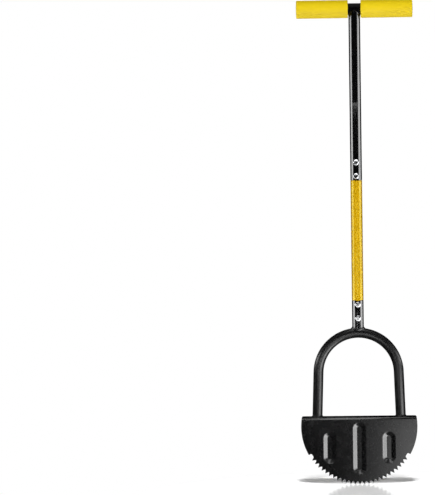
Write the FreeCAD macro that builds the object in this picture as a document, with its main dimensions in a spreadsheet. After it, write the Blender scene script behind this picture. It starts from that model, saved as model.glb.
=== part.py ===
import FreeCAD, Part
import Sketcher
import math
import os

# Half moon edger: a toothed half moon blade under a bent tube fork, on a three part handle with a T grip.
# Millimetres and degrees. +X is to the user's right along the T grip, the blade's front face looks
# along -Y, and +Z is up. The origin lies under the handle's axis, level with the lowest tooth tip.

SIZES = [
    ("blade_radius", 110.0, "cutting circle, through the tooth tips"),
    ("top_rise", 17.5, "top of the tread above the centre of the cutting circle"),
    ("plate", 2.5, "thickness of the blade's steel"),
    ("tread_depth", 30.0, "tread, from the blade's front face to its back edge"),
    ("tread_bend", 2.0, "inner radius of the bend between blade and tread"),
    ("tread_corner", 8.0, "rounding of the tread's back corners"),
    ("blade_setback", 17.0, "blade's front face in front of the handle's axis"),
    ("blade_corner", 2.0, "rounding of the two upper corners, seen from the front"),
    ("tooth_count", 25, "teeth on the cutting circle"),
    ("tooth_pitch", 4.55, "angle from tooth to tooth"),
    ("tooth_depth", 5.8, "depth of the gullets below the cutting circle"),
    ("tooth_land", 0.5, "width of a tooth's tip"),
    ("gullet_rounding", 1.2, "radius at the bottom of a gullet"),
    ("last_gullet", 6.1, "angle of the wide gullet after the last tooth"),
    ("last_gullet_rounding", 2.4, "radius in the corners of the wide gullet"),
    ("rib_width", 23.5, "pressed rib at the blade's front face"),
    ("rib_depth", 4.5, "depth of the pressed ribs"),
    ("rib_draft", 57.0, "slope of the ribs' walls, from the direction of pressing"),
    ("rib_rounding", 3.0, "rounding of the ribs' rims and floors, on the front"),
    ("middle_rib_top", 10.0, "middle rib below the top of the tread"),
    ("middle_rib_rim", 19.5, "middle rib's lower end from the cutting circle"),
    ("side_rib_top", 28.0, "side ribs below the top of the tread"),
    ("side_rib_rim", 17.5, "side ribs' lower ends from the cutting circle"),
    ("side_rib_inset", 54.0, "side ribs' middles from the widest points of the cutting circle"),
    ("fork_diameter", 19.0, "fork tube, outside"),
    ("fork_wall", 1.5, "wall of the fork tube"),
    ("fork_height", 168.5, "top of the fork above the tread"),
    ("fork_flare", 2.0, "outward lean of each leg"),
    ("leg_inset", 31.0, "legs' feet from the widest points of the cutting circle"),
    ("leg_weld", 3.5, "width of the welds at the legs and the socket"),
    ("tube_diameter", 22.0, "handle tubes, outside"),
    ("tube_wall", 1.5, "wall of the handle tubes"),
    ("lower_length", 52.0, "lower tube above the top of the fork"),
    ("middle_length", 228.0, "yellow part of the middle tube"),
    ("upper_length", 323.0, "upper tube, up to the axis of the T bar"),
    ("saddle_depth", 2.5, "lower tube reaches this far down over the fork"),
    ("cope_trim", 3.0, "upper tube ends this far below the axis of the T bar"),
    ("neck_length", 48.0, "necked ends of the middle tube"),
    ("neck_clearance", 0.15, "play between neck and tube, on the radius"),
    ("shoulder_rounding", 1.5, "rounding of the middle tube's shoulders"),
    ("screw_edge", 7.5, "first screw from the visible joint"),
    ("screw_pitch", 26.0, "from screw to screw in one joint"),
    ("screw_hole", 6.5, "cross holes in the handle tubes"),
    ("grip_span", 220.0, "T grip, overall"),
    ("grip_gap", 24.0, "bare T bar between the grips"),
    ("grip_diameter", 34.0, "grips, outside"),
    ("grip_end", 3.0, "closed end of a grip"),
    ("grip_rounding", 1.5, "rounding of the grips' ends"),
    ("grip_clearance", 0.1, "play between grip and T bar, on the radius"),
    ("bar_weld", 2.5, "height of the weld under the T bar"),
    ("bar_weld_toe", 0.7, "width of that weld beside the upper tube"),
    ("screw_diameter", 6.0, "M6 screw"),
    ("screw_length", 30.0, "M6 screw, under its head"),
    ("head_diameter", 12.0, "button head"),
    ("head_height", 3.3, "button head"),
    ("head_rounding", 3.0, "dome of the button head"),
    ("socket_flats", 4.0, "hexagon socket, across flats"),
    ("socket_depth", 2.0, "hexagon socket"),
    ("tip_chamfer", 0.8, "chamfer at the screw's tip"),
    ("washer_diameter", 12.0, "washer, outside"),
    ("washer_bore", 6.4, "washer, inside"),
    ("washer_height", 1.6, "washer"),
    ("nut_flats", 10.0, "hexagon nut, across flats"),
    ("nut_height", 5.0, "hexagon nut"),
    ("nut_chamfer", 30.0, "slope of the chamfer on the nut's outer corners"),
    ("thread_clearance", 0.05, "play between nut and screw, on the radius"),
]

doc = FreeCAD.newDocument("half_moon_edger")
sheet = doc.addObject("Spreadsheet::Sheet", "Sizes")
for row, (alias, number, note) in enumerate(SIZES, start=1):
    sheet.set(f"A{row}", alias)
    sheet.set(f"B{row}", str(number))
    sheet.set(f"C{row}", note)
    sheet.setAlias(f"B{row}", alias)
doc.recompute()

# Heights and radii that several pieces share, as expressions of the sheet. The fork's bend takes what
# its height and the place of its feet leave for it.
TREAD_TOP = "(Sizes.blade_radius + Sizes.top_rise)"
FORK_RADIUS = "(Sizes.fork_diameter / 2)"
LEG_FOOT = "(Sizes.blade_radius - Sizes.leg_inset)"
FORK_BEND = (
    f"(({LEG_FOOT} - (Sizes.fork_height - {FORK_RADIUS}) * tan(Sizes.fork_flare))"
    " / (1 / cos(Sizes.fork_flare) - tan(Sizes.fork_flare)))"
)
FORK_CREST = f"({FORK_BEND} + {FORK_RADIUS})"
LEG_HEIGHT = f"(Sizes.fork_height - {FORK_CREST})"
BEND_CENTRE = f"({TREAD_TOP} + {LEG_HEIGHT})"
LOWER_JOINT = f"({TREAD_TOP} + Sizes.fork_height + Sizes.lower_length)"
UPPER_JOINT = f"({LOWER_JOINT} + Sizes.middle_length)"
BAR_AXIS = f"({UPPER_JOINT} + Sizes.upper_length)"
TUBE_RADIUS = "(Sizes.tube_diameter / 2)"
TUBE_BORE = f"({TUBE_RADIUS} - Sizes.tube_wall)"

# Outlines that cut past an edge go this far beyond it.
MARGIN = 5.0
FORWARD = FreeCAD.Rotation(FreeCAD.Vector(1, 0, 0), -90)

pieces = []


def value(expression):
    """The number that an expression of the sheet gives now."""
    return FreeCAD.Units.Quantity(sheet.evalExpression(expression)).Value


def size(alias):
    """One size of the sheet."""
    return float(sheet.get(alias))


def bind(thing, expressions):
    """Ties properties of an object to expressions of the sheet."""
    for name, expression in expressions.items():
        thing.setExpression(name, expression)


def body(label, height, side="0"):
    """An empty body, placed on the part's X and Z axes."""
    made = doc.addObject("PartDesign::Body", label)
    made.Label = label
    bind(made, {"Placement.Base.x": side, "Placement.Base.z": height})
    pieces.append(made)
    return made


def origin(owner, role):
    """A plane or an axis of a body's own origin."""
    return next(item for item in owner.Origin.OriginFeatures if item.Role == role)


def sketch(owner, role, name, offset=None, turn=None):
    """An empty sketch on a plane of the body, moved along the plane's normal or turned about it."""
    made = owner.newObject("Sketcher::SketchObject", f"{owner.Name}_{name}")
    made.AttachmentSupport = [(origin(owner, role), "")]
    made.MapMode = "FlatFace"
    if offset:
        bind(made, {"AttachmentOffset.Base.z": offset})
    if turn:
        made.AttachmentOffset = FreeCAD.Placement(
            FreeCAD.Vector(), FreeCAD.Rotation(FreeCAD.Vector(0, 0, 1), 1)
        )
        bind(made, {"AttachmentOffset.Rotation.Angle": turn})
    return made


def feature(owner, kind, name, profile, settings, expressions=None):
    """A feature of a body, made from one sketch."""
    made = owner.newObject(f"PartDesign::{kind}", f"{owner.Name}_{name}")
    made.Profile = profile
    for key, setting in settings.items():
        setattr(made, key, setting)
    bind(made, expressions or {})
    doc.recompute()
    return made


def dimension(where, kind, number, first, expression):
    """A driving dimension of a sketch, tied to the sheet."""
    index = where.addConstraint(Sketcher.Constraint(kind, *first, number))
    bind(where, {f"Constraints[{index}]": expression})


def polar(reach, angle):
    """A vector in the plane of a sketch. The angle is in radians."""
    return FreeCAD.Vector(reach * math.cos(angle), reach * math.sin(angle), 0)


def place(where, element, point, x, y):
    """Holds a point of a sketch at a distance from the sketch's origin."""
    dimension(where, "DistanceX", value(x), (-1, 1, element, point), x)
    dimension(where, "DistanceY", value(y), (-1, 1, element, point), y)


def circle(where, radius, x="0", y="0"):
    """A circle in a sketch."""
    centre = FreeCAD.Vector(value(x), value(y), 0)
    made = where.addGeometry(
        Part.Circle(centre, FreeCAD.Vector(0, 0, 1), value(radius))
    )
    dimension(where, "Radius", value(radius), (made,), radius)
    place(where, made, 3, x, y)


def end_at(where, element, point):
    """Which end of a sketch element lies at a point."""
    return (
        1 if where.getPoint(element, 1).distanceToPoint(point) < Part.Precision.confusion() else 2
    )


def tangent(where, first, second, point):
    """Joins two elements of a sketch smoothly where they meet."""
    where.addConstraint(
        Sketcher.Constraint(
            "Tangent",
            first,
            end_at(where, first, point),
            second,
            end_at(where, second, point),
        )
    )


def outline(where, corners):
    """A closed outline of straight edges. Each corner is x, y and, if it is rounded, a radius."""
    points = [FreeCAD.Vector(value(x), value(y), 0) for x, y, *_ in corners]
    radii = [value(rest[0]) if rest else 0.0 for _, _, *rest in corners]
    count = len(corners)
    arrive, leave, arcs = [], [], []
    for k, point in enumerate(points):
        back = (points[k - 1] - point).normalize()
        ahead = (points[(k + 1) % count] - point).normalize()
        half = back.getAngle(ahead) / 2
        reach = radii[k] / math.tan(half)
        arrive.append(point + back * reach)
        leave.append(point + ahead * reach)
        middle = point + (back + ahead).normalize() * (radii[k] / math.sin(half) - radii[k])
        arcs.append(Part.Arc(arrive[k], middle, leave[k]) if radii[k] else None)
    edges = [
        where.addGeometry(Part.LineSegment(leave[k - 1], arrive[k])) for k in range(count)
    ]
    for k, (x, y, *rest) in enumerate(corners):
        before, after = edges[k], edges[(k + 1) % count]
        if not rest:
            where.addConstraint(Sketcher.Constraint("Coincident", before, 2, after, 1))
            place(where, after, 1, x, y)
            continue
        arc = where.addGeometry(arcs[k])
        corner = where.addGeometry(Part.Point(points[k]), True)
        where.addConstraint(Sketcher.Constraint("PointOnObject", corner, 1, before))
        where.addConstraint(Sketcher.Constraint("PointOnObject", corner, 1, after))
        tangent(where, before, arc, arrive[k])
        tangent(where, arc, after, leave[k])
        place(where, corner, 1, x, y)
        dimension(where, "Radius", radii[k], (arc,), rest[0])


def rectangle(where, right, low, high):
    """A rectangle across the middle of a sketch."""
    outline(where, [(f"-{right}", low), (right, low), (right, high), (f"-{right}", high)])


def slot(where, radius, x, low, high):
    """An upright slot with round ends. Low and high are the centres of its ends."""
    wide = FreeCAD.Vector(value(radius), 0, 0)
    tall = FreeCAD.Vector(0, value(radius), 0)
    bottom = FreeCAD.Vector(value(x), value(low), 0)
    top = FreeCAD.Vector(value(x), value(high), 0)
    lower = where.addGeometry(Part.Arc(bottom - wide, bottom - tall, bottom + wide))
    right = where.addGeometry(Part.LineSegment(bottom + wide, top + wide))
    upper = where.addGeometry(Part.Arc(top + wide, top + tall, top - wide))
    left = where.addGeometry(Part.LineSegment(top - wide, bottom - wide))
    tangent(where, lower, right, bottom + wide)
    tangent(where, right, upper, top + wide)
    tangent(where, upper, left, top - wide)
    tangent(where, left, lower, bottom - wide)
    place(where, lower, 3, x, low)
    place(where, upper, 3, x, high)
    dimension(where, "Radius", value(radius), (lower,), radius)
    where.addConstraint(Sketcher.Constraint("Equal", lower, upper))


def cut_through(owner, name, profile):
    """A pocket through the whole body, to both sides of its sketch."""
    return feature(
        owner, "Pocket", name, profile, {"Type": "ThroughAll", "SideType": "Symmetric"}
    )


def tube(owner, plane, outer, inner, settings, expressions, offset=None):
    """A straight round tube."""
    ring = sketch(owner, plane, "ring", offset)
    circle(ring, outer)
    circle(ring, inner)
    feature(owner, "Pad", "wall", ring, settings, expressions)


def screw_holes(owner, heights):
    """Holes for the screws, straight through from front to back."""
    holes = sketch(owner, "XZ_Plane", "hole_circles")
    for height in heights:
        circle(holes, "Sizes.screw_hole / 2", "0", height)
    cut_through(owner, "screw_holes", holes)


def mirrored(owner, name, originals):
    """The same features on the other side of the body's middle plane."""
    made = owner.newObject("PartDesign::Mirrored", f"{owner.Name}_{name}")
    made.Originals = originals
    made.MirrorPlane = (origin(owner, "YZ_Plane"), [""])
    owner.Tip = made
    doc.recompute()


# Blade. Its own origin is the centre of the cutting circle, on the plane of the handle's axis.


def bent_plate(blade):
    """The plate and the tread, as one bent section across the whole width."""
    front = "-Sizes.blade_setback"
    back = "(Sizes.plate - Sizes.blade_setback)"
    edge = "(Sizes.tread_depth - Sizes.blade_setback)"
    below = "(Sizes.top_rise - Sizes.plate)"
    floor = f"-(Sizes.blade_radius + {MARGIN})"
    section = sketch(blade, "YZ_Plane", "section")
    outline(
        section,
        [
            (front, floor),
            (front, "Sizes.top_rise", "(Sizes.tread_bend + Sizes.plate)"),
            (edge, "Sizes.top_rise"),
            (edge, below),
            (back, below, "Sizes.tread_bend"),
            (back, floor),
        ],
    )
    feature(
        blade,
        "Pad",
        "bent_plate",
        section,
        {"SideType": "Symmetric"},
        {"Length": f"2 * (Sizes.blade_radius + {MARGIN})"},
    )


def tread_plan(blade):
    """The tread seen from above: as wide as the blade's top, with rounded back corners."""
    waste = sketch(blade, "XY_Plane", "tread_waste", "Sizes.top_rise")
    beyond = f"(Sizes.blade_radius + {2 * MARGIN})"
    rectangle(waste, beyond, f"-{beyond}", beyond)
    wide = "sqrt(Sizes.blade_radius^2 - (Sizes.top_rise - Sizes.plate)^2)"
    edge = "(Sizes.tread_depth - Sizes.blade_setback)"
    outline(
        waste,
        [
            (f"-{wide}", f"-(Sizes.blade_setback + {MARGIN})"),
            (wide, f"-(Sizes.blade_setback + {MARGIN})"),
            (wide, edge, "Sizes.tread_corner"),
            (f"-{wide}", edge, "Sizes.tread_corner"),
        ],
    )
    feature(
        blade, "Pocket", "tread_edge", waste, {"Type": "Length"}, {"Length": "Sizes.plate"}
    )


def moon_edge(blade):
    """Everything outside the half moon is cut away."""
    waste = sketch(blade, "XZ_Plane", "waste")
    beyond = f"(Sizes.blade_radius + {2 * MARGIN})"
    rectangle(waste, beyond, f"-{beyond}", beyond)
    radius, corner, rise = size("blade_radius"), size("blade_corner"), size("top_rise")
    turn = math.asin((rise - corner) / (radius - corner))
    centre = polar(radius - corner, turn)
    ends = [
        polar(radius, turn),
        centre + polar(corner, (math.pi / 2 + turn) / 2),
        centre + polar(corner, math.pi / 2),
    ]
    right_end, right_middle, right_top = ends
    left_end, left_middle, left_top = [FreeCAD.Vector(-end.x, end.y, 0) for end in ends]
    edge = waste.addGeometry(Part.Arc(left_end, polar(-radius, math.pi / 2), right_end))
    right_arc = waste.addGeometry(Part.Arc(right_end, right_middle, right_top))
    top = waste.addGeometry(Part.LineSegment(right_top, left_top))
    left_arc = waste.addGeometry(Part.Arc(left_top, left_middle, left_end))
    tangent(waste, edge, right_arc, right_end)
    tangent(waste, right_arc, top, right_top)
    tangent(waste, top, left_arc, left_top)
    tangent(waste, left_arc, edge, left_end)
    waste.addConstraint(Sketcher.Constraint("Coincident", edge, 3, -1, 1))
    waste.addConstraint(Sketcher.Constraint("Horizontal", top))
    dimension(waste, "Radius", radius, (edge,), "Sizes.blade_radius")
    dimension(waste, "Radius", corner, (right_arc,), "Sizes.blade_corner")
    dimension(waste, "Radius", corner, (left_arc,), "Sizes.blade_corner")
    dimension(waste, "DistanceY", rise, (-1, 1, top, 1), "Sizes.top_rise")
    cut_through(blade, "half_moon", waste)


LAND_ANGLE = "(asin(Sizes.tooth_land / 2 / Sizes.blade_radius))"
HALF_GAP = f"(Sizes.tooth_pitch / 2 * 1 deg - {LAND_ANGLE})"
TIP_SIDE = f"(Sizes.blade_radius * sin({HALF_GAP}))"
TIP_REACH = f"(Sizes.blade_radius * cos({HALF_GAP}))"
ROUNDING_REACH = "(Sizes.blade_radius - Sizes.tooth_depth + Sizes.gullet_rounding)"
ROUNDING_DROP = f"({TIP_REACH} - {ROUNDING_REACH})"
FLANK = (
    f"(atan({TIP_SIDE} / {ROUNDING_DROP})"
    f" - asin(Sizes.gullet_rounding / sqrt({TIP_SIDE}^2 + {ROUNDING_DROP}^2)))"
)
OUTSIDE = f"(Sizes.blade_radius + {MARGIN})"


def teeth(blade):
    """Equal gullets between the teeth, and a wider one beyond the last tooth on each side."""
    gullet = sketch(
        blade,
        "XZ_Plane",
        "gullet",
        turn="-Sizes.tooth_pitch * (Sizes.tooth_count - 2) / 2",
    )
    root = f"-({ROUNDING_REACH} - Sizes.gullet_rounding / sin({FLANK}))"
    outline(
        gullet,
        [
            (f"-{TIP_SIDE}", f"-{OUTSIDE}"),
            (TIP_SIDE, f"-{OUTSIDE}"),
            (TIP_SIDE, f"-{TIP_REACH}"),
            ("0", root, "Sizes.gullet_rounding"),
            (f"-{TIP_SIDE}", f"-{TIP_REACH}"),
        ],
    )
    first = cut_through(blade, "first_gullet", gullet)
    ring = blade.newObject("PartDesign::PolarPattern", "blade_gullets")
    ring.Originals = [first]
    ring.Axis = (origin(blade, "Y_Axis"), [""])
    ring.Mode = "Spacing"
    ring.Reversed = True
    bind(ring, {"Offset": "Sizes.tooth_pitch", "Occurrences": "Sizes.tooth_count - 1"})
    blade.Tip = ring
    doc.recompute()

    last = sketch(
        blade,
        "XZ_Plane",
        "last_gullet",
        turn=f"Sizes.tooth_pitch * (Sizes.tooth_count - 1) / 2 * 1 deg + {LAND_ANGLE}",
    )
    floor = "(Sizes.blade_radius - Sizes.tooth_depth)"
    lean = f"({FLANK} - {HALF_GAP})"
    outline(
        last,
        [
            ("0", f"-{OUTSIDE}"),
            (
                f"{OUTSIDE} * sin(Sizes.last_gullet)",
                f"-{OUTSIDE} * cos(Sizes.last_gullet)",
            ),
            (
                f"{floor} * sin(Sizes.last_gullet)",
                f"-{floor} * cos(Sizes.last_gullet)",
                "Sizes.last_gullet_rounding",
            ),
            (f"Sizes.tooth_depth * tan({lean})", f"-{floor}", "Sizes.last_gullet_rounding"),
            ("0", "-Sizes.blade_radius"),
        ],
    )
    right = cut_through(blade, "right_last_gullet", last)
    mirrored(blade, "last_gullets", [right])


RIB_SHIFT = "(Sizes.plate * tan((90 - Sizes.rib_draft) / 2))"
RIB_END = "(Sizes.rib_width / 2)"
SIDE_RIB = "(Sizes.blade_radius - Sizes.side_rib_inset)"
LEVEL = 0.01


def rims(blade, depth):
    """The edges of the ribs that lie on a plane parallel to the blade's face."""
    names = []
    for number, edge in enumerate(blade.Tip.Shape.Edges, start=1):
        box = edge.BoundBox
        flat = abs(box.YMin - depth) < LEVEL and box.YLength < LEVEL
        inside = max(math.hypot(v.X, v.Z) for v in edge.Vertexes) < (
            size("blade_radius") - size("tooth_depth") - size("gullet_rounding")
        )
        below = box.ZMax < size("top_rise") - size("middle_rib_top") + size("plate")
        if flat and inside and below:
            names.append(f"Edge{number}")
    return names


def rib_slots(where, radius):
    """The outlines of the three ribs on one face of the blade. They end short of its rim."""
    for x, top, rim in (
        ("0", "Sizes.middle_rib_top", "Sizes.middle_rib_rim"),
        (f"-{SIDE_RIB}", "Sizes.side_rib_top", "Sizes.side_rib_rim"),
        (SIDE_RIB, "Sizes.side_rib_top", "Sizes.side_rib_rim"),
    ):
        low = f"(-sqrt((Sizes.blade_radius - {rim} - {RIB_END})^2 - ({x})^2))"
        slot(where, radius, x, low, f"(Sizes.top_rise - {top} - {RIB_END})")


def ribs(blade):
    """Pressed ribs, hollow on the front and raised on the back, with rounded rims."""
    raised = sketch(blade, "XZ_Plane", "rib_backs", "Sizes.blade_setback - Sizes.plate")
    rib_slots(raised, f"({RIB_END} + {RIB_SHIFT})")
    feature(
        blade,
        "Pad",
        "raised_ribs",
        raised,
        {"Reversed": True},
        {"Length": "Sizes.rib_depth", "TaperAngle": "-Sizes.rib_draft"},
    )
    hollow = sketch(blade, "XZ_Plane", "rib_fronts", "Sizes.blade_setback")
    rib_slots(hollow, RIB_END)
    feature(
        blade,
        "Pocket",
        "pressed_ribs",
        hollow,
        {"Type": "Length"},
        {"Length": "Sizes.rib_depth", "TaperAngle": "-Sizes.rib_draft"},
    )
    face = -size("blade_setback")
    inner = "Sizes.rib_rounding"
    outer = "Sizes.rib_rounding + Sizes.plate"
    for name, depth, radius in (
        ("front_rims", face, inner),
        ("front_floors", face + size("rib_depth"), inner),
        ("back_roots", face + size("plate"), outer),
        ("back_crests", face + size("plate") + size("rib_depth"), outer),
    ):
        base = blade.Tip
        edges = rims(blade, depth)
        rounding = blade.newObject("PartDesign::Fillet", f"blade_{name}")
        rounding.Base = (base, edges)
        bind(rounding, {"Radius": radius})
        doc.recompute()


def blade():
    made = body("blade", "Sizes.blade_radius")
    bent_plate(made)
    tread_plan(made)
    moon_edge(made)
    teeth(made)
    ribs(made)
    return made


# Fork. Its own origin is the centre of the bend.


def fork_tube():
    """The right half of a bent tube, mirrored, with both legs cut level at the tread."""
    made = body("fork_tube", BEND_CENTRE)
    bend = value(FORK_BEND)
    flare = math.radians(size("fork_flare"))
    drop = f"({LEG_HEIGHT} + {MARGIN})"
    foot = f"({LEG_FOOT} + {MARGIN} * tan(Sizes.fork_flare))"
    path = sketch(made, "XZ_Plane", "path")
    crest, middle, turn_end = polar(bend, math.pi / 2), polar(bend, math.pi / 4), polar(bend, flare)
    leg_end = FreeCAD.Vector(value(foot), -value(drop), 0)
    arc = path.addGeometry(Part.Arc(crest, middle, turn_end))
    leg = path.addGeometry(Part.LineSegment(turn_end, leg_end))
    tangent(path, arc, leg, turn_end)
    path.addConstraint(Sketcher.Constraint("Coincident", arc, 3, -1, 1))
    path.addConstraint(Sketcher.Constraint("PointOnObject", arc, end_at(path, arc, crest), -2))
    dimension(path, "Radius", bend, (arc,), FORK_BEND)
    place(path, leg, 2, foot, f"-{drop}")
    ring = sketch(made, "YZ_Plane", "ring")
    circle(ring, FORK_RADIUS, "0", FORK_BEND)
    circle(ring, f"({FORK_RADIUS} - Sizes.fork_wall)", "0", FORK_BEND)
    doc.recompute()
    half = feature(made, "AdditivePipe", "right_half", ring, {"Spine": (path, ["Edge1", "Edge2"])})
    mirrored(made, "halves", [half])
    level = sketch(made, "XZ_Plane", "level")
    wide = f"({foot} + Sizes.fork_diameter)"
    low = f"-({drop} + {MARGIN})"
    rectangle(level, wide, low, f"-{LEG_HEIGHT}")
    cut_through(made, "level_feet", level)
    return made


# Handle tubes. Each one's own origin is where it meets its neighbour below.


def lower_tube():
    """The socket tube, saddled onto the crest of the fork."""
    made = body("lower_tube", BEND_CENTRE)
    bottom = f"({FORK_CREST} - Sizes.saddle_depth)"
    tube(
        made,
        "XY_Plane",
        TUBE_RADIUS,
        TUBE_BORE,
        {"Type": "Length"},
        {"Length": "Sizes.lower_length + Sizes.saddle_depth"},
        bottom,
    )
    saddle = sketch(made, "YZ_Plane", "saddle")
    circle(saddle, FORK_RADIUS, "0", FORK_BEND)
    feature(
        made, "Groove", "fork_seat", saddle, {"ReferenceAxis": (origin(made, "Y_Axis"), [""])}
    )
    joint = f"{FORK_CREST} + Sizes.lower_length"
    screw_holes(
        made,
        [
            f"{joint} - Sizes.screw_edge",
            f"{joint} - Sizes.screw_edge - Sizes.screw_pitch",
        ],
    )
    return made


def middle_tube():
    """The yellow tube, with a neck at each end that fits inside the black tubes."""
    made = body("middle_tube", LOWER_JOINT)
    outer = f"({TUBE_BORE} - Sizes.neck_clearance)"
    bore = f"({outer} - Sizes.tube_wall)"
    length = "Sizes.middle_length"
    profile = sketch(made, "XZ_Plane", "profile")
    outline(
        profile,
        [
            (outer, "-Sizes.neck_length"),
            (outer, "0"),
            (TUBE_RADIUS, "0", "Sizes.shoulder_rounding"),
            (TUBE_RADIUS, length, "Sizes.shoulder_rounding"),
            (outer, length),
            (outer, f"({length} + Sizes.neck_length)"),
            (bore, f"({length} + Sizes.neck_length)"),
            (bore, f"({length} - Sizes.tube_wall)"),
            (TUBE_BORE, f"({length} - Sizes.tube_wall)"),
            (TUBE_BORE, "Sizes.tube_wall"),
            (bore, "Sizes.tube_wall"),
            (bore, "-Sizes.neck_length"),
        ],
    )
    feature(
        made, "Revolution", "wall", profile, {"ReferenceAxis": (origin(made, "Z_Axis"), [""])}
    )
    near, far = "Sizes.screw_edge", "(Sizes.screw_edge + Sizes.screw_pitch)"
    screw_holes(made, [f"-{near}", f"-{far}", f"({length} + {near})", f"({length} + {far})"])
    return made


def upper_tube():
    """The top third of the handle, coped under the T bar."""
    made = body("upper_tube", UPPER_JOINT)
    tube(
        made,
        "XY_Plane",
        TUBE_RADIUS,
        TUBE_BORE,
        {"Type": "Length"},
        {"Length": "Sizes.upper_length - Sizes.cope_trim"},
    )
    cope = sketch(made, "YZ_Plane", "cope")
    circle(cope, TUBE_RADIUS, "0", "Sizes.upper_length")
    cut_through(made, "bar_seat", cope)
    screw_holes(made, ["Sizes.screw_edge", "(Sizes.screw_edge + Sizes.screw_pitch)"])
    return made


def t_bar():
    """The cross tube of the T grip."""
    made = body("t_bar", BAR_AXIS)
    tube(
        made,
        "YZ_Plane",
        TUBE_RADIUS,
        TUBE_BORE,
        {"SideType": "Symmetric"},
        {"Length": "Sizes.grip_span - 2 * Sizes.grip_end"},
    )
    return made


def grip(label, side):
    """A sleeve with a closed outer end. Side is 1 on the right and -1 on the left."""
    made = body(label, BAR_AXIS)
    inner = f"({side} * Sizes.grip_gap / 2)"
    outer = f"({side} * Sizes.grip_span / 2)"
    stop = f"({side} * (Sizes.grip_span / 2 - Sizes.grip_end))"
    bore = f"({TUBE_RADIUS} + Sizes.grip_clearance)"
    profile = sketch(made, "XZ_Plane", "profile")
    outline(
        profile,
        [
            (inner, bore),
            (inner, "Sizes.grip_diameter / 2", "Sizes.grip_rounding"),
            (outer, "Sizes.grip_diameter / 2", "Sizes.grip_rounding"),
            (outer, "0"),
            (stop, "0"),
            (stop, bore),
        ],
    )
    feature(
        made, "Revolution", "sleeve", profile, {"ReferenceAxis": (origin(made, "X_Axis"), [""])}
    )


# Fasteners. Each one's own Z axis runs from the screw's head to its tip, and points to the back.


def fastener(label, height, seat):
    """An empty body on the axis of a screw. Seat is how far behind the handle's axis it starts."""
    made = body(label, height)
    made.Placement = FreeCAD.Placement(FreeCAD.Vector(), FORWARD)
    bind(made, {"Placement.Base.y": seat, "Placement.Base.z": height})
    return made


def hexagon(where, flats):
    """A hexagon about the sketch's origin."""
    reach = f"({flats} / 2 / cos(30))"
    outline(
        where,
        [(f"{reach} * cos({60 * k})", f"{reach} * sin({60 * k})") for k in range(6)],
    )


def screw(label, height):
    """A button head screw with a hexagon socket."""
    made = fastener(label, height, f"-{TUBE_RADIUS}")
    shank = "Sizes.screw_diameter / 2"
    profile = sketch(made, "XZ_Plane", "profile")
    outline(
        profile,
        [
            ("0", "-Sizes.head_height"),
            ("Sizes.head_diameter / 2", "-Sizes.head_height", "Sizes.head_rounding"),
            ("Sizes.head_diameter / 2", "0"),
            (shank, "0"),
            (shank, "Sizes.screw_length - Sizes.tip_chamfer"),
            (f"({shank} - Sizes.tip_chamfer)", "Sizes.screw_length"),
            ("0", "Sizes.screw_length"),
        ],
    )
    feature(
        made, "Revolution", "turned", profile, {"ReferenceAxis": (origin(made, "Z_Axis"), [""])}
    )
    socket = sketch(made, "XY_Plane", "socket_hexagon", "-Sizes.head_height")
    hexagon(socket, "Sizes.socket_flats")
    feature(
        made,
        "Pocket",
        "socket",
        socket,
        {"Type": "Length", "Reversed": True},
        {"Length": "Sizes.socket_depth"},
    )


def washer(label, height):
    """A plain washer against the back of the tube."""
    made = fastener(label, height, TUBE_RADIUS)
    tube(
        made,
        "XY_Plane",
        "Sizes.washer_diameter / 2",
        "Sizes.washer_bore / 2",
        {"Type": "Length"},
        {"Length": "Sizes.washer_height"},
    )


def nut(label, height):
    """A hexagon nut with its outer corners chamfered."""
    made = fastener(label, height, f"({TUBE_RADIUS} + Sizes.washer_height)")
    flats = sketch(made, "XY_Plane", "hexagon")
    hexagon(flats, "Sizes.nut_flats")
    circle(flats, "(Sizes.screw_diameter / 2 + Sizes.thread_clearance)")
    feature(made, "Pad", "block", flats, {"Type": "Length"}, {"Length": "Sizes.nut_height"})
    corner = sketch(made, "XZ_Plane", "corner")
    inner = "(Sizes.nut_flats / 2)"
    beyond = f"({inner} / cos(30) + {MARGIN})"
    outline(
        corner,
        [
            (inner, "Sizes.nut_height"),
            (beyond, f"(Sizes.nut_height - ({beyond} - {inner}) * tan(Sizes.nut_chamfer))"),
            (beyond, "Sizes.nut_height"),
        ],
    )
    feature(
        made, "Groove", "chamfer", corner, {"ReferenceAxis": (origin(made, "Z_Axis"), [""])}
    )


# Welds. Each bead is lofted round the foot of a tube, and what it lies against is cut from it. So its
# toes lie a little below the surfaces that it joins, and its root lies deeper.

BEAD_SECTIONS = 24
TOE_SINK = 0.4
ROOT_SINK = 1.0
HOLLOW = 0.1
SOCKET_CROWN = 0.45
BAR_CROWN = 0.3


def bead(label, section, height, side, neighbours):
    """A ring of weld. Section gives root, wall toe, crown and run toe for an angle round the tube."""
    wires = []
    for k in range(BEAD_SECTIONS):
        root, wall_toe, crown, run_toe = section(2 * math.pi * k / BEAD_SECTIONS)
        wires.append(
            Part.Wire(
                [
                    Part.makeLine(root, wall_toe),
                    Part.Arc(wall_toe, crown, run_toe).toShape(),
                    Part.makeLine(run_toe, root),
                ]
            )
        )
    shape = Part.makeLoft(wires, True, False, True)
    base = FreeCAD.Vector(value(side), 0, value(height))
    for neighbour in neighbours:
        shape = shape.cut(neighbour.Shape.translated(-base))
    made = doc.addObject("Part::Feature", label)
    made.Label = label
    made.Shape = max(shape.Solids, key=lambda solid: solid.Volume)
    bind(made, {"Placement.Base.x": side, "Placement.Base.z": height})
    pieces.append(made)


def bulge(start, end, outward, height):
    """The middle of a bead's outer face: halfway between its toes, and proud by the height."""
    along = (end - start).normalize()
    proud = outward - along * outward.dot(along)
    return (start + end) * 0.5 + proud.normalize() * height


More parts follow.
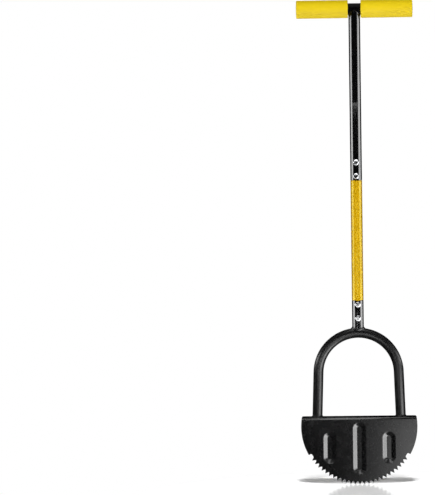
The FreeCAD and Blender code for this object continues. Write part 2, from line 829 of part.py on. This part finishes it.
def leg_weld(label, side, neighbours):
    """The fillet round one leg, on top of the tread, with a slightly hollow face."""
    radius, leg = size("fork_diameter") / 2, size("leg_weld")
    lean = side * math.tan(math.radians(size("fork_flare")))
    up = FreeCAD.Vector(0, 0, 1)

    def section(angle):
        outward = polar(1, angle)
        root = outward * (radius - ROOT_SINK) - up * TOE_SINK
        wall_toe = outward * (radius - TOE_SINK) + FreeCAD.Vector(-lean * leg, 0, leg)
        run_toe = outward * (radius + leg) - up * TOE_SINK
        return root, wall_toe, bulge(wall_toe, run_toe, outward + up, -HOLLOW * leg), run_toe

    bead(label, section, TREAD_TOP, f"({side} * {LEG_FOOT})", neighbours)


def socket_weld(neighbours):
    """The weld between the crest of the fork and the lower tube. It bulges on the fork's flanks."""
    radius, leg = size("tube_diameter") / 2, size("leg_weld")
    run, bend, saddle = value(FORK_RADIUS), value(FORK_BEND), size("saddle_depth")
    flank = run - 2 * TOE_SINK

    def on_fork(x, y, sink):
        out = bend + math.sqrt((run - sink) ** 2 - y**2)
        return FreeCAD.Vector(x, y, math.sqrt(out**2 - x**2))

    def section(angle):
        outward = polar(1, angle)
        root = on_fork(
            (radius - ROOT_SINK) * outward.x, (flank - TOE_SINK) * outward.y, ROOT_SINK
        )
        wall_toe = outward * (radius - TOE_SINK)
        wall_toe.z = bend + run - saddle * outward.y**2 + leg
        run_toe = on_fork((radius + leg) * outward.x, flank * outward.y, TOE_SINK)
        proud = (SOCKET_CROWN * outward.y**2 - HOLLOW) * leg
        return root, wall_toe, bulge(wall_toe, run_toe, outward, proud), run_toe

    bead("socket_weld", section, BEND_CENTRE, "0", neighbours)


def t_bar_weld(neighbours):
    """The weld round the top of the upper tube, under the T bar."""
    radius, leg, toe = size("tube_diameter") / 2, size("bar_weld"), size("bar_weld_toe")
    trim, deep = size("cope_trim"), radius - TOE_SINK

    def under_bar(x, y, sink):
        return FreeCAD.Vector(x, y, -math.sqrt((radius - sink) ** 2 - y**2))

    def section(angle):
        outward = polar(1, angle)
        root = under_bar(
            (radius - ROOT_SINK) * outward.x, (deep - ROOT_SINK) * outward.y, ROOT_SINK
        )
        wall_toe = outward * deep
        wall_toe.z = -math.hypot(radius * outward.x, trim) - leg
        run_toe = under_bar((radius + toe) * outward.x, (deep - LEVEL) * outward.y, TOE_SINK)
        proud = (BAR_CROWN + outward.y**2) * toe
        return root, wall_toe, bulge(wall_toe, run_toe, outward, proud), run_toe

    bead("t_bar_weld", section, BAR_AXIS, "0", neighbours)


def build():
    """Every piece of the edger, from the blade up."""
    blade_body = blade()
    fork_body = fork_tube()
    lower_body = lower_tube()
    middle_tube()
    upper_body = upper_tube()
    bar_body = t_bar()
    grip("left_grip", -1)
    grip("right_grip", 1)
    joints = {
        "lower_joint": (f"({LOWER_JOINT}", "-"),
        "upper_joint": (f"({UPPER_JOINT}", "+"),
    }
    for joint, (start, sign) in joints.items():
        near = f"{start} {sign} Sizes.screw_edge)"
        far = f"{start} {sign} (Sizes.screw_edge + Sizes.screw_pitch))"
        for number, height in enumerate((near, far), start=1):
            screw(f"{joint}_screw_{number}", height)
            washer(f"{joint}_washer_{number}", height)
            nut(f"{joint}_nut_{number}", height)
    doc.recompute()
    leg_weld("left_leg_weld", -1, [fork_body, blade_body])
    leg_weld("right_leg_weld", 1, [fork_body, blade_body])
    socket_weld([fork_body, lower_body])
    t_bar_weld([bar_body, upper_body])
    doc.recompute()


def check():
    """Stops if a feature failed or a piece has no sound shape."""
    for item in doc.Objects:
        if "Invalid" in item.State or "Error" in item.State:
            raise RuntimeError(f"{item.Label} failed: {item.State}")
    for piece in pieces:
        if piece.Shape.isNull() or not piece.Shape.isValid():
            raise RuntimeError(f"{piece.Label} has no valid shape")


def export():
    """One STEP file for each piece."""
    os.makedirs("parts", exist_ok=True)
    for piece in pieces:
        piece.Shape.exportStep(f"parts/{piece.Label}.step")


build()
check()
export()
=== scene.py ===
import math

import bmesh
import bpy
from mathutils import Matrix, Quaternion, Vector, noise


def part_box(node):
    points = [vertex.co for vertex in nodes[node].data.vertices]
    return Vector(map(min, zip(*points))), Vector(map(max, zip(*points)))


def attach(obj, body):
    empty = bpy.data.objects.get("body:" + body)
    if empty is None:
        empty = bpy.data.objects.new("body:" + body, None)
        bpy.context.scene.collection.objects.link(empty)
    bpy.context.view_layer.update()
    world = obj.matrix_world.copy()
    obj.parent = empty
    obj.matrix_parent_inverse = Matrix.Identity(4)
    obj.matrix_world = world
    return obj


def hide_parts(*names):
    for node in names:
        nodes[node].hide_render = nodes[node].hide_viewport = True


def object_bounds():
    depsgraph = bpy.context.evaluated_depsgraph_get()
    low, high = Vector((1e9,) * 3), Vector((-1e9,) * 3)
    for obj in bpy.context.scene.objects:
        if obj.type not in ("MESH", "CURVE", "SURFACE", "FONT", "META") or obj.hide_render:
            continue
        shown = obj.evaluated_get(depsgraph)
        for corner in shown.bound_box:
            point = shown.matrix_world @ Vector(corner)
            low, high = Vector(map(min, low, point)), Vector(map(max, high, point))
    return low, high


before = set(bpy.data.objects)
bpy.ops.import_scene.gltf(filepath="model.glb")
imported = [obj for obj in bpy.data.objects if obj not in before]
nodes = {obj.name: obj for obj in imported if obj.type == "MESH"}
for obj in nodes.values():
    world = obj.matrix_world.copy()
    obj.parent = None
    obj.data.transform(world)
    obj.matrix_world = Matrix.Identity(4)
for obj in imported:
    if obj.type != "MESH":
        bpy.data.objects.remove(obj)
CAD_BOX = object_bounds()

# Half moon edger, dressed for the picture. Metres, in the row frame: +X along the T grip, the blade's
# front face looks along -Y, and +Z is up from the lowest tooth.

scene = bpy.context.scene
scene.view_settings.view_transform = "Standard"

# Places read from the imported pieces.
FORK_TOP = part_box("lower_tube")[0].z
BAR_AXIS = (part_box("t_bar")[0].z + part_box("t_bar")[1].z) / 2
BAR_RADIUS = (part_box("t_bar")[1].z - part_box("t_bar")[0].z) / 2
GRIP_RADIUS = (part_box("left_grip")[1].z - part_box("left_grip")[0].z) / 2
HEIGHT = CAD_BOX[1].z

# Camera, from readings of the picture in pixels of its 435 x 495 frame. The middle pixel is where the
# middle of the tool's height lies.
PICTURE = Vector((435, 495))
METRES_PER_PIXEL = 0.001895
MIDDLE_PIXEL = Vector((357.0, 242.4))
LEAN = math.radians(0.71)
DISTANCE = 6.0
LOOK_DOWN = math.radians(2.5)
SENSOR = 36.0


def camera():
    """A long lens, a little above the middle of the tool, which stands in the right of the frame."""
    data = bpy.data.cameras.new("camera")
    focal = DISTANCE / METRES_PER_PIXEL
    data.sensor_width = SENSOR
    data.lens = focal * SENSOR / max(PICTURE)
    made = bpy.data.objects.new("camera", data)
    scene.collection.objects.link(made)
    sight = Vector((0, math.cos(LOOK_DOWN), -math.sin(LOOK_DOWN)))
    offset = MIDDLE_PIXEL - PICTURE / 2
    ray = Vector((offset.x, -offset.y, -focal)).normalized()
    aimed = sight.to_track_quat("-Z", "Y") @ Quaternion((0, 0, 1), -LEAN)
    made.rotation_mode = "QUATERNION"
    made.rotation_quaternion = aimed @ ray.rotation_difference(Vector((0, 0, -1)))
    made.location = Vector((0, 0, HEIGHT / 2)) - sight * DISTANCE
    scene.camera = made


# Shader nodes


def add(tree, kind, sockets=None, **settings):
    """A node with its settings, and its sockets set or linked."""
    made = tree.nodes.new(f"ShaderNode{kind}")
    for key, setting in settings.items():
        setattr(made, key, setting)
    for key, given in (sockets or {}).items():
        socket = made.inputs[key]
        if isinstance(given, bpy.types.NodeSocket):
            tree.links.new(given, socket)
        else:
            socket.default_value = given
    return made


def product(tree, one, other):
    """Two values multiplied."""
    return add(tree, "Math", {0: one, 1: other}, operation="MULTIPLY").outputs[0]


def material(name):
    """An empty material, and its tree."""
    made = bpy.data.materials.new(name)
    made.use_nodes = True
    made.node_tree.nodes.clear()
    return made, made.node_tree


def finish_with(tree, shader):
    """Ends a tree in its surface."""
    add(tree, "OutputMaterial", {"Surface": shader})


# The middle part of a noise field, which clouds() stretches over its range.
CLOUD_LOW = 0.3
CLOUD_HIGH = 0.7


def grain(tree, where, scale, detail=2.0):
    """A noise field, as the height of a bump."""
    return add(tree, "TexNoise", {"Vector": where, "Scale": scale, "Detail": detail}).outputs["Fac"]


def clouds(tree, where, scale, detail=2.0, low=0.0, high=1.0):
    """A noise field, mapped to a range of tone or roughness."""
    field = grain(tree, where, scale, detail)
    levels = {"From Min": CLOUD_LOW, "From Max": CLOUD_HIGH, "To Min": low, "To Max": high}
    return add(tree, "MapRange", {"Value": field, **levels}).outputs["Result"]


def tinted(tree, colour, other, share):
    """A colour that drifts to another one by a share."""
    mix = add(tree, "Mix", data_type="RGBA", clamp_factor=True)
    factor, first, second = mix.inputs[0], mix.inputs[6], mix.inputs[7]
    tree.links.new(share, factor)
    first.default_value = (*colour, 1)
    second.default_value = (*other, 1)
    return mix.outputs[2]


def bump(tree, height, depth, strength=1.0, under=None):
    """A bump of a given depth in metres."""
    made = add(tree, "Bump", {"Height": height, "Distance": depth, "Strength": strength})
    if under is not None:
        tree.links.new(under, made.inputs["Normal"])
    return made.outputs["Normal"]


def ramp(tree, given, start, end, low=0.0, high=1.0):
    """A smooth step of a value between two of its levels."""
    levels = {"From Min": start, "From Max": end, "To Min": low, "To Max": high}
    made = add(tree, "MapRange", {"Value": given, **levels}, interpolation_type="SMOOTHSTEP")
    return made.outputs["Result"]


# Materials. Noise scales are cells per metre, and depths are metres.

PAINT_DRIFT = 22
PAINT_HANDLING = 75
PAINT_SMOOTHER = 0.04
PAINT_ROUGHER = 0.05
PEEL = 420
SPECK = 2600


def paint(name, colour, shade, roughness, peel_depth, speck_depth, **constants):
    """Sprayed or powder paint: orange peel, fine grain, slow drifts of tone, and faint handling marks."""
    made, tree = material(name)
    where = add(tree, "TexCoord").outputs["Object"]
    drift = clouds(tree, where, PAINT_DRIFT, 3)
    smooth, rough = roughness - PAINT_SMOOTHER, roughness + PAINT_ROUGHER
    spread = clouds(tree, where, PAINT_HANDLING, 4, smooth, rough)
    skin = bump(tree, grain(tree, where, PEEL, 1), peel_depth)
    fine = bump(tree, grain(tree, where, SPECK, 1), speck_depth, under=skin)
    shader = add(
        tree,
        "BsdfPrincipled",
        {
            "Base Color": tinted(tree, colour, shade, drift),
            "Roughness": spread,
            "Normal": fine,
            **constants,
        },
    )
    finish_with(tree, shader.outputs["BSDF"])
    return made


ZINC_BRIGHT = (0.78, 0.79, 0.81)
ZINC_DULL = (0.68, 0.69, 0.70)
ZINC_DRIFT = 160
ZINC_SPREAD = 500
ZINC_GRAIN = 3000
ZINC_GRAIN_DEPTH = 0.00001


def zinc(name):
    """Bright zinc plate on turned steel."""
    made, tree = material(name)
    where = add(tree, "TexCoord").outputs["Object"]
    drift = clouds(tree, where, ZINC_DRIFT, 3)
    spread = clouds(tree, where, ZINC_SPREAD, 3, 0.28, 0.38)
    fine = bump(tree, grain(tree, where, ZINC_GRAIN, 2), ZINC_GRAIN_DEPTH)
    shader = add(
        tree,
        "BsdfPrincipled",
        {
            "Base Color": tinted(tree, ZINC_BRIGHT, ZINC_DULL, drift),
            "Metallic": 1.0,
            "Roughness": spread,
            "Normal": fine,
        },
    )
    finish_with(tree, shader.outputs["BSDF"])
    return made


FOAM_YELLOW = (0.79, 0.585, 0.01)
FOAM_SHADE = (0.75, 0.55, 0.008)
FOAM_DRIFT = 30
FOAM_SPREAD = 90
FOAM_PORES = 1500
FOAM_PORE_DEPTH = 0.00004
FOAM_SKIN = 240
FOAM_SKIN_DEPTH = 0.00005


def foam(name):
    """Fine celled soft rubber of the grips: matt, with a soft skin and a slight mottle."""
    made, tree = material(name)
    where = add(tree, "TexCoord").outputs["Object"]
    drift = clouds(tree, where, FOAM_DRIFT, 4)
    spread = clouds(tree, where, FOAM_SPREAD, 3, 0.62, 0.74)
    cells = add(tree, "TexVoronoi", {"Vector": where, "Scale": FOAM_PORES})
    pores = bump(tree, cells.outputs["Distance"], FOAM_PORE_DEPTH, 0.4)
    skin = bump(tree, grain(tree, where, FOAM_SKIN, 3), FOAM_SKIN_DEPTH, under=pores)
    shader = add(
        tree,
        "BsdfPrincipled",
        {
            "Base Color": tinted(tree, FOAM_YELLOW, FOAM_SHADE, drift),
            "Roughness": spread,
            "Specular IOR Level": 0.3,
            "Normal": skin,
        },
    )
    finish_with(tree, shader.outputs["BSDF"])
    return made


def dress():
    """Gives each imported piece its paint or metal, and returns the two paints of the welds."""
    gloss_black = paint(
        "gloss_black_paint",
        colour=(0.0016, 0.0016, 0.0018),
        shade=(0.0026, 0.0026, 0.0028),
        roughness=0.16,
        peel_depth=0.000012,
        speck_depth=0.000001,
        **{"Coat Weight": 1.0, "Coat Roughness": 0.05},
    )
    fork_black = paint(
        "fork_black_paint",
        colour=(0.0022, 0.0022, 0.0024),
        shade=(0.0036, 0.0036, 0.0038),
        roughness=0.34,
        peel_depth=0.000016,
        speck_depth=0.000006,
    )
    blade_black = paint(
        "blade_black_paint",
        colour=(0.0018, 0.0018, 0.002),
        shade=(0.0028, 0.0028, 0.003),
        roughness=0.26,
        peel_depth=0.00001,
        speck_depth=0.000005,
        **{"Coat Weight": 0.9, "Coat Roughness": 0.22},
    )
    yellow = paint(
        "yellow_paint",
        colour=(0.55, 0.31, 0.001),
        shade=(0.52, 0.29, 0.0008),
        roughness=0.28,
        peel_depth=0.000012,
        speck_depth=0.000001,
        **{
            "Specular IOR Level": 1.0,
            "Specular Tint": (0.9, 1, 0.2, 1),
            "Coat Weight": 0.05,
            "Coat Roughness": 0.12,
        },
    )
    plate = zinc("zinc_plate")
    by_node = {
        "blade": blade_black,
        "fork_tube": fork_black,
        "lower_tube": gloss_black,
        "middle_tube": yellow,
        "upper_tube": gloss_black,
        "t_bar": gloss_black,
    }
    for name, made in by_node.items():
        repaint(nodes[name], made)
    for name in nodes:
        if any(word in name for word in ("screw", "washer", "nut")):
            repaint(nodes[name], plate)
    return fork_black, gloss_black


def repaint(thing, made):
    """Puts one material in the only slot of an object."""
    thing.data.materials.clear()
    thing.data.materials.append(made)


# Modelled pieces


def new_piece(name, mesh_data, made, slot, *replaced):
    """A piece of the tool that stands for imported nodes."""
    thing = bpy.data.objects.new(name, mesh_data)
    scene.collection.objects.link(thing)
    repaint(thing, made)
    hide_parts(*replaced)
    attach(thing, "root")
    return thing


def arc(centre, radius, start, end, steps):
    """Points of a profile's rounded corner. Angles are in degrees, from the turning axis outwards."""
    turns = [math.radians(start + (end - start) * k / steps) for k in range(steps + 1)]
    return [(centre[0] + radius * math.cos(t), centre[1] + radius * math.sin(t)) for t in turns]


def turned(name, profile, segments):
    """A closed mesh, turned about the X axis. The profile runs from the axis back to the axis."""
    made = bmesh.new()
    rings = []
    for along, reach in profile:
        if reach == 0:
            rings.append([made.verts.new((along, 0, 0))])
            continue
        angles = [2 * math.pi * k / segments for k in range(segments)]
        rings.append(
            [made.verts.new((along, -reach * math.sin(a), reach * math.cos(a))) for a in angles]
        )
    for near, far in zip(rings, rings[1:]):
        for k in range(segments):
            ahead = (k + 1) % segments
            corners = [near[k % len(near)], near[ahead % len(near)]]
            corners += [far[ahead % len(far)], far[k % len(far)]]
            made.faces.new(list(dict.fromkeys(corners)))
    bmesh.ops.recalc_face_normals(made, faces=made.faces)
    data = bpy.data.meshes.new(name)
    made.to_mesh(data)
    made.free()
    data.shade_smooth()
    return data


GRIP_EDGE = 0.0016
GRIP_LIP = 0.0012
GRIP_CROWN = 0.0005
GRIP_BORE_GAP = 0.0001
GRIP_END_WALL = 0.003
GRIP_SEGMENTS = 96
CROWN_STEPS = 5
EDGE_STEPS = 6
SKIN_STEPS = 12
MOUTH_STEPS = 5
THROAT_STEPS = 3


def grip_profile(length):
    """Outer end, skin, mouth and bore of a sleeve. The outer end is at zero and the mouth at -length."""
    bore = BAR_RADIUS + GRIP_BORE_GAP
    rim = GRIP_RADIUS - GRIP_EDGE
    rises = [rim * k / CROWN_STEPS for k in range(1, CROWN_STEPS)]
    crown = [(-GRIP_CROWN * (rise / rim) ** 2, rise) for rise in rises]
    outer = arc((-GRIP_EDGE - GRIP_CROWN, rim), GRIP_EDGE, 0, 90, EDGE_STEPS)
    skin = [(-length * k / SKIN_STEPS, GRIP_RADIUS) for k in range(1, SKIN_STEPS)]
    mouth = arc((GRIP_LIP - length, GRIP_RADIUS - GRIP_LIP), GRIP_LIP, 90, 180, MOUTH_STEPS)
    inner = GRIP_LIP / 2
    throat = arc((inner - length, bore + inner), inner, 180, 270, THROAT_STEPS)
    bottom = [(-GRIP_END_WALL, bore), (-GRIP_END_WALL, 0)]
    return [(0, 0), *crown, *outer, *skin, *mouth, *throat, *bottom]


def grips():
    """The two soft sleeves of the T grip."""
    made = foam("yellow_foam")
    for name, side in (("left_grip", -1), ("right_grip", 1)):
        low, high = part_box(name)
        data = turned(f"{name}_mesh", grip_profile(high.x - low.x), GRIP_SEGMENTS)
        end = high.x if side > 0 else low.x
        turn = Matrix.Rotation(0 if side > 0 else math.pi, 4, "Z")
        data.transform(Matrix.Translation((end, 0, BAR_AXIS)) @ turn)
        new_piece(f"{name}_sleeve", data, made, "yellow_grip", name)


# Welds. Sizes in metres. A ripple is a pass of the rod, and a chevron is how far it bends along the bead.
WELD_EDGE = 0.0007
WELD_ROUNDS = 4
WELD_RIPPLE = 0.00016
WELD_RIPPLE_FLOOR = 0.6
WELD_CHEVRON = 0.9
WELD_CHEVRON_LENGTH = 0.004
WELD_LUMP = 0.0002
WELD_LUMPS = 220
WELD_MERGE = 0.00002
LEG_RIPPLES = 26
SOCKET_RIPPLES = 30
BAR_RIPPLES = 28


def split_faces(shape):
    """Splits every face with more than three corners."""
    bmesh.ops.triangulate(shape, faces=[face for face in shape.faces if len(face.verts) > 3])


def heal(shape):
    """Merges corners that coincide, and takes out the slivers that this leaves."""
    bmesh.ops.remove_doubles(shape, verts=shape.verts, dist=WELD_MERGE)
    bmesh.ops.dissolve_degenerate(shape, dist=WELD_MERGE, edges=shape.edges)
    split_faces(shape)


def weld(node, centre, ripples, made, slot):
    """A weld bead with the ripples of its passes. They run round an upright axis through the centre."""
    shape = bmesh.new()
    shape.from_mesh(nodes[node].data)
    heal(shape)
    for _ in range(WELD_ROUNDS):
        long = [edge for edge in shape.edges if edge.calc_length() > WELD_EDGE]
        bmesh.ops.subdivide_edges(shape, edges=long, cuts=1, use_grid_fill=False)
        split_faces(shape)
    shape.normal_update()
    moves = []
    for point in shape.verts:
        out = point.co - centre
        turn = math.atan2(out.y, out.x)
        bend = WELD_CHEVRON * math.sin(2 * math.pi * (out.z / WELD_CHEVRON_LENGTH))
        height = WELD_RIPPLE * (abs(math.cos((ripples * turn + bend) / 2)) - WELD_RIPPLE_FLOOR)
        lump = WELD_LUMP * noise.noise(point.co * WELD_LUMPS)
        moves.append(point.normal * (height + lump))
    for point, move in zip(shape.verts, moves):
        point.co += move
    heal(shape)
    data = bpy.data.meshes.new(f"{node}_bead")
    shape.to_mesh(data)
    shape.free()
    data.validate()
    data.shade_smooth()
    new_piece(f"{node}_bead", data, made, slot, node)


def welds(fork_black, gloss_black):
    """The four beads of the frame."""
    for name in ("left_leg_weld", "right_leg_weld"):
        low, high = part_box(name)
        weld(name, (low + high) / 2, LEG_RIPPLES, fork_black, "satin_black_paint")
    socket = Vector((0, 0, FORK_TOP))
    weld("socket_weld", socket, SOCKET_RIPPLES, fork_black, "satin_black_paint")
    bar = Vector((0, 0, BAR_AXIS))
    weld("t_bar_weld", bar, BAR_RIPPLES, gloss_black, "gloss_black_paint")


# Studio. The gloss shows cards alone, and the lamps light the colours alone.

RAY_KINDS = ("camera", "diffuse", "glossy", "transmission", "volume_scatter", "shadow")
SCREEN_STEPS = 24
WHITE = (1, 1, 1, 1)


def only_for(thing, *kinds):
    """Shows an object to these kinds of ray alone."""
    for kind in RAY_KINDS:
        setattr(thing, f"visible_{kind}", kind in kinds)


def staged(name, data):
    """An object of the studio, which is no part of the tool."""
    thing = bpy.data.objects.new(name, data)
    scene.collection.objects.link(thing)
    return thing


def card(name, corner, across, up):
    """A flat card with one corner and two sides."""
    data = bpy.data.meshes.new(name)
    corner, across, up = Vector(corner), Vector(across), Vector(up)
    data.from_pydata([corner, corner + across, corner + across + up, corner + up], [], [(0, 1, 2, 3)])
    return staged(name, data)


def screen(name, reach, start, end, low, high):
    """An upright curved card round the tool. Its ends are compass angles from the front, to the right."""
    shape = bmesh.new()
    edge = []
    for k in range(SCREEN_STEPS + 1):
        turn = math.radians(start + (end - start) * k / SCREEN_STEPS)
        out = Vector((math.sin(turn), -math.cos(turn), 0)) * reach
        edge.append([shape.verts.new(out + Vector((0, 0, z))) for z in (low, high)])
    for a, b in zip(edge, edge[1:]):
        shape.faces.new((a[0], b[0], b[1], a[1]))
    data = bpy.data.meshes.new(name)
    shape.to_mesh(data)
    shape.free()
    return staged(name, data)


def shown_white(tree):
    """One for what the camera, gloss and glass see, and nought for the rest."""
    path = add(tree, "LightPath").outputs
    seen = path["Is Camera Ray"]
    for kind in ("Is Glossy Ray", "Is Transmission Ray"):
        seen = add(tree, "Math", {0: seen, 1: path[kind]}, operation="MAXIMUM").outputs[0]
    return seen


def sky():
    """A white room to the camera, gloss and glass. The lamps do the lighting."""
    world = bpy.data.worlds.new("studio")
    scene.world = world
    world.use_nodes = True
    tree = world.node_tree
    tree.nodes.clear()
    white = add(tree, "Background", {"Color": WHITE, "Strength": shown_white(tree)})
    add(tree, "OutputWorld", {"Surface": white.outputs[0]})


# The floor is a hair above the lowest teeth. It shows the tool's shadow up to the near distance from its
# middle, and plain white from the far one. It mirrors the blade in a patch in front of it.
FLOOR_HALF = 6.0
FLOOR_LEVEL = 0.0012
FLOOR_MIDDLE = (0, -0.25, 0)
FLOOR_NEAR = 0.31
FLOOR_FAR = 0.43
FLOOR_TONE = 0.8
FLOOR_TONE_SHOWN = 1.9
FLOOR_INDEX = 1.55
FLOOR_ROUGHNESS = 0.1
PATCH_BACK = (0.02, -0.01)
PATCH_BEHIND = 0.08
PATCH_FRONT = (-0.3, -0.2)
PATCH_SIDES = (0.22, 0.14)


def floor():
    """A white floor that mirrors the blade. It turns into plain white away from the tool."""
    corner = (-FLOOR_HALF, -FLOOR_HALF, FLOOR_LEVEL)
    thing = card("floor", corner, (2 * FLOOR_HALF, 0, 0), (0, 2 * FLOOR_HALF, 0))
    made, tree = material("floor_white")
    where = add(tree, "TexCoord").outputs["Object"]
    far = add(tree, "VectorMath", {0: where, 1: FLOOR_MIDDLE}, operation="DISTANCE").outputs["Value"]
    across, along, _ = add(tree, "SeparateXYZ", {"Vector": where}).outputs
    aside = add(tree, "Math", {0: across}, operation="ABSOLUTE").outputs[0]
    shown = add(tree, "LightPath").outputs["Is Camera Ray"]
    tones = {"To Min": FLOOR_TONE, "To Max": FLOOR_TONE_SHOWN}
    tone = add(tree, "MapRange", {"Value": shown, **tones}).outputs["Result"]
    matt = add(tree, "BsdfDiffuse", {"Color": tone}).outputs[0]
    shine = add(tree, "BsdfGlossy", {"Color": WHITE, "Roughness": FLOOR_ROUGHNESS}).outputs[0]
    mirror = add(tree, "Fresnel", {"IOR": FLOOR_INDEX}).outputs[0]
    mirror = product(tree, mirror, ramp(tree, along, *PATCH_BACK, PATCH_BEHIND, 1.0))
    mirror = product(tree, mirror, ramp(tree, along, *PATCH_FRONT))
    mirror = product(tree, mirror, ramp(tree, aside, *PATCH_SIDES))
    near = add(tree, "MixShader", {"Fac": mirror, 1: matt, 2: shine}).outputs[0]
    white = add(tree, "Emission", {"Color": WHITE, "Strength": 1.0}).outputs[0]
    plain = product(tree, ramp(tree, far, FLOOR_NEAR, FLOOR_FAR), shown_white(tree))
    both = add(tree, "MixShader", {"Fac": plain, 1: near, 2: white})
    finish_with(tree, both.outputs[0])
    repaint(thing, made)
    thing.visible_glossy = False


def lamp(name, place, target, width, height, radiance):
    """A soft box, as bright as its radiance says. Only the cards show in the gloss."""
    data = bpy.data.lights.new(name, "AREA")
    data.shape = "RECTANGLE"
    data.size = width
    data.size_y = height
    data.energy = radiance * math.pi * width * height
    thing = bpy.data.objects.new(name, data)
    scene.collection.objects.link(thing)
    thing.location = place
    thing.rotation_mode = "QUATERNION"
    thing.rotation_quaternion = (Vector(target) - Vector(place)).to_track_quat("-Z", "Y")
    for kind in ("camera", "glossy", "transmission"):
        setattr(thing, f"visible_{kind}", False)


def glow(thing, strength, rise=None, fall=None):
    """
    Makes a card shine for reflections alone. It may start softly along X. With a fall, both are
    compass angles round the tool, and the card fades again.
    """
    made, tree = material(thing.name)
    power = strength
    if rise:
        where = add(tree, "TexCoord").outputs["Object"]
        along, deep, _ = add(tree, "SeparateXYZ", {"Vector": where}).outputs
        if fall:
            ahead = product(tree, deep, -1.0)
            turn = add(tree, "Math", {0: along, 1: ahead}, operation="ARCTAN2").outputs[0]
            along = add(tree, "Math", {0: turn}, operation="DEGREES").outputs[0]
        power = ramp(tree, along, *rise, 0.0, strength)
        if fall:
            power = product(tree, power, ramp(tree, along, *fall))
    light = add(tree, "Emission", {"Color": WHITE, "Strength": power})
    finish_with(tree, light.outputs[0])
    repaint(thing, made)
    only_for(thing, "glossy")


# Black screens round the front and sides leave a gap at the back, where the floor's mirror sees white.
FLAG_REACH = 4.5
FLAG_LOW = -3.0
FLAG_HIGH = 4.5
FLAG_END = 168
FLAG_GLOW = 0.1
BACK_FLAG = (-0.35, 0.3, 0.08)
BACK_FLAG_WIDTH = 0.7


def flags():
    """Black screens that keep the paint dark. Dim ones close the top and bottom."""
    glow(screen("flag_ring", FLAG_REACH, -FLAG_END, FLAG_END, FLAG_LOW, FLAG_HIGH), 0.0)
    glow(card("flag_back", BACK_FLAG, (BACK_FLAG_WIDTH, 0, 0), (0, 0, HEIGHT)), 0.0)
    corner = (-FLAG_REACH, -FLAG_REACH)
    across, along = (2 * FLAG_REACH, 0, 0), (0, 2 * FLAG_REACH, 0)
    for name, height in (("flag_top", FLAG_HIGH), ("flag_bottom", FLAG_LOW)):
        glow(card(name, (*corner, height), across, along), FLAG_GLOW)


# The strips draw the stripes on the tubes. The far ones serve the handle, and the near ones its foot. A
# stop keeps the far ones off the head. For each: first and last angle, strength, and the stop's foot.
STRIPS = {
    "strip_left": (-100, -64, 5.8, -0.3),
    "strip_right": (54, 100, 5.2, 0.15),
}
STRIP_REACH = 3.0
STRIP_FOOT = 0.25
STRIP_OVER = 0.1
NEAR_REACH = 0.35
NEAR_FOOT = 0.265
NEAR_TOP = 0.345
STOP_REACH = 0.6
STOP_TOP = 0.32
STOP_BEFORE = 15
STOP_AFTER = 10


def strips():
    """Bright strips at the left and right of the tool, with their stops."""
    for name, (start, end, strength, stop_foot) in STRIPS.items():
        far = screen(name, STRIP_REACH, start, end, STRIP_FOOT, HEIGHT + STRIP_OVER)
        glow(far, strength)
        near = screen(f"{name}_low", NEAR_REACH, start, end, NEAR_FOOT, NEAR_TOP)
        glow(near, strength)
        first, last = start - STOP_BEFORE, end + STOP_AFTER
        glow(screen(f"{name}_stop", STOP_REACH, first, last, stop_foot, STOP_TOP), 0.0)


# Flat cards over and under the screws. A level card at the eye's height doesn't show in the upright tubes.
EYE_LEVEL = 0.72
LID_GAP = 0.002
ABOVE_FRONT = -0.2
ABOVE_HALF = 0.09
ABOVE_DEPTH = 0.18
BELOW_CORNER = (-0.06, -0.3, 0.245)
BELOW_WIDTH = 0.1
BELOW_DEPTH = 0.24


def screw_cards():
    """Light on the rims of the screws, from above and below."""
    across, along = (2 * ABOVE_HALF, 0, 0), (0, ABOVE_DEPTH, 0)
    glow(card("screws_above", (-ABOVE_HALF, ABOVE_FRONT, EYE_LEVEL), across, along), 4.0)
    lid = (-ABOVE_HALF, ABOVE_FRONT, EYE_LEVEL + LID_GAP)
    glow(card("screws_above_lid", lid, across, along), 0.0)
    across, along = (BELOW_WIDTH, 0, 0), (0, BELOW_DEPTH, 0)
    glow(card("screws_below", BELOW_CORNER, across, along), 1.8)


# The head's panel reaches below the floor, which reflections don't see.
HEAD_PANEL_SPAN = (-1.7, 0.13)
HEAD_PANEL_RISE = (14, 40)
HEAD_PANEL_FALL = (92, 46)
HEAD_STOP_SPAN = (0.268, 0.36)
BLADE_PANEL_RISE = (0.0, 0.145)


def head_panels():
    """Panels for the fork, the blade and the left shoulder. A stop keeps them off the foot of the handle."""
    head = screen("head_panel", 1.6, 8, 84, *HEAD_PANEL_SPAN)
    glow(head, 8.6, HEAD_PANEL_RISE, HEAD_PANEL_FALL)
    glow(screen("head_panel_stop", 0.3, 4, 50, *HEAD_STOP_SPAN), 0.0)
    blade = card("blade_panel", (0.0, -0.5, -0.3), (0.4, 0, 0), (0, 0, 0.39))
    glow(blade, 1.8, BLADE_PANEL_RISE)
    glow(card("shoulder_panel", (-0.2, -0.4, 0.2), (0.2, 0, 0), (0, 0, 0.06)), 6.5)


# Soft boxes: place, target, width, height and radiance.
LAMPS = {
    "key": ((0.15, -2.3, 4.8), (0, 0, 0.3), 0.9, 0.7, 76.0),
    "box_low": ((0, -1.2, 0.2), (0, 0, 0.95), 0.8, 0.3, 14.0),
    "box_left": ((-2.9, -0.8, 0.4), (0, 0, 0.45), 1.0, 0.8, 7.0),
    "box_right": ((2.9, -0.8, 0.4), (0, 0, 0.45), 1.0, 0.8, 7.0),
    "box_back": ((0, 3.2, 0.4), (0, 0, 0.45), 1.2, 0.8, 13.0),
}


def studio():
    """A white room with black flags, bright cards for the gloss, and soft boxes for the colours."""
    sky()
    floor()
    flags()
    strips()
    head_panels()
    screw_cards()
    for name, settings in LAMPS.items():
        lamp(name, *settings)


camera()
weld_paints = dress()
grips()
welds(*weld_paints)
studio()
